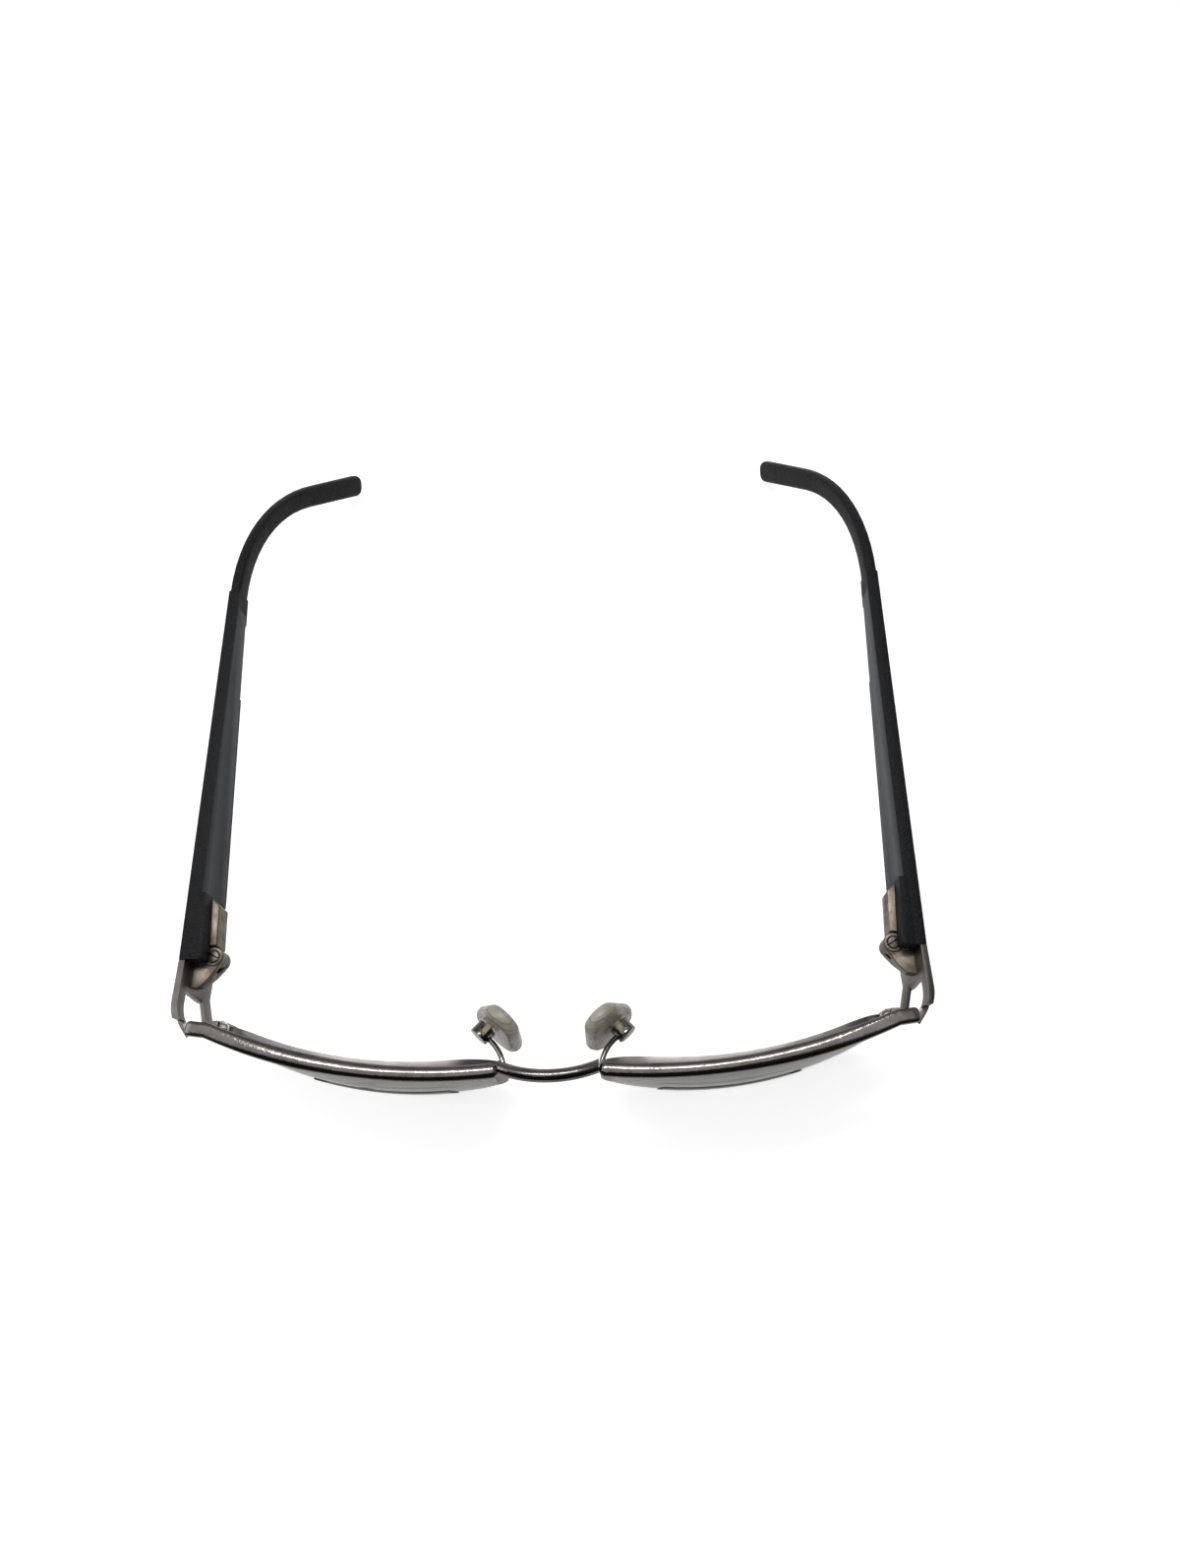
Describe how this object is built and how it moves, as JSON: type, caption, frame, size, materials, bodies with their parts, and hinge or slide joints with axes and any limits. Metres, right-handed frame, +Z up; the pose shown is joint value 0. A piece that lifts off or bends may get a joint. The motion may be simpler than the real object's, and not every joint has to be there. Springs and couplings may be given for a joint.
{
  "type": "eyeglasses",
  "caption": "Rectangular full-rim metal eyeglasses with bifocal lenses, nose pads, open end pieces, sprung hinges and folding two-tone plastic temples.",
  "frame": {"origin": "middle of the width and of the open length, at the height of the lowest points, on which the glasses stand", "axes": "+X to the wearer's left, +Y back to the ears, +Z up; the front faces -Y"},
  "size_m": [0.1362, 0.154, 0.0345],
  "materials": {
    "polished_metal": "dark polished plating",
    "frame_metal": "satin dark grey",
    "hinge_metal": "satin bronze grey with a fine grain",
    "screw_steel": "bright turned",
    "spring_steel": "drawn wire",
    "brass": "turned",
    "lens": "clear, polished",
    "temple_black": "matte with a fine leather-like grain",
    "temple_grey": "smooth satin",
    "pad_core": "translucent",
    "pad_silicone": "clear silicone, slightly yellowed"
  },
  "bodies": {
    "front": {"bridge": "polished_metal", "eyewire_left": "frame_metal", "eyewire_right": "frame_metal", "brow_bar_left": "polished_metal", "brow_bar_right": "polished_metal", "lens_left": "lens", "lens_right": "lens", "rim_lock_left": "frame_metal", "rim_lock_right": "frame_metal", "lock_screw_left": "screw_steel", "lock_screw_right": "screw_steel", "end_piece_left": "frame_metal", "end_piece_right": "frame_metal", "hinge_leaf_left": "hinge_metal", "hinge_leaf_right": "hinge_metal", "hinge_knuckle_left": "hinge_metal", "hinge_knuckle_right": "hinge_metal", "hinge_screw_left": "screw_steel", "hinge_screw_right": "screw_steel", "pad_arm_left": "frame_metal", "pad_arm_right": "frame_metal", "pad_cup_left": "frame_metal", "pad_cup_right": "frame_metal", "pad_screw_left": "screw_steel", "pad_screw_right": "screw_steel"},
    "tongue_left": {"flex_tongue_left": "screw_steel", "flex_nut_left": "brass"},
    "arm_left": {"flex_spring_left": "spring_steel", "flex_stop_left": "brass", "spring_case_left": "hinge_metal", "temple_core_left": "screw_steel", "temple_left": "temple_black", "temple_bed_left": "temple_black", "temple_tip_left": "temple_black", "temple_liner_left": "temple_grey"},
    "pad_left": {"pad_insert_left": "pad_core", "nose_pad_left": "pad_silicone"},
    "tongue_right": {"flex_tongue_right": "screw_steel", "flex_nut_right": "brass"},
    "arm_right": {"flex_spring_right": "spring_steel", "flex_stop_right": "brass", "spring_case_right": "hinge_metal", "temple_core_right": "screw_steel", "temple_right": "temple_black", "temple_bed_right": "temple_black", "temple_tip_right": "temple_black", "temple_liner_right": "temple_grey"},
    "pad_right": {"pad_insert_right": "pad_core", "nose_pad_right": "pad_silicone"}
  },
  "joints": [
    {"name": "fold_left", "type": "hinge", "parent": "front", "child": "tongue_left", "pos_m": [0.0628, -0.05238, 0.02656], "axis": [0, 0, 1], "range_deg": [0, 90]},
    {"name": "flex_left", "type": "slide", "parent": "tongue_left", "child": "arm_left", "axis": [0, 1, 0], "range_m": [0, 0.0015], "stiffness_N_per_m": 1500, "springref_m": -0.002, "deforming": ["flex_spring_left"]},
    {"name": "pad_rock_left", "type": "hinge", "parent": "front", "child": "pad_left", "pos_m": [0.0127, -0.06538, 0.02075], "axis": [0.7202, 0.682, 0.127], "range_deg": [-10, 10]},
    {"name": "fold_right", "type": "hinge", "parent": "front", "child": "tongue_right", "pos_m": [-0.0628, -0.05238, 0.02656], "axis": [0, 0, -1], "range_deg": [0, 82]},
    {"name": "flex_right", "type": "slide", "parent": "tongue_right", "child": "arm_right", "axis": [0, 1, 0], "range_m": [0, 0.0015], "stiffness_N_per_m": 1500, "springref_m": -0.002, "deforming": ["flex_spring_right"]},
    {"name": "pad_rock_right", "type": "hinge", "parent": "front", "child": "pad_right", "pos_m": [-0.0127, -0.06538, 0.02075], "axis": [-0.7202, 0.682, 0.127], "range_deg": [-10, 10]}
  ]
}
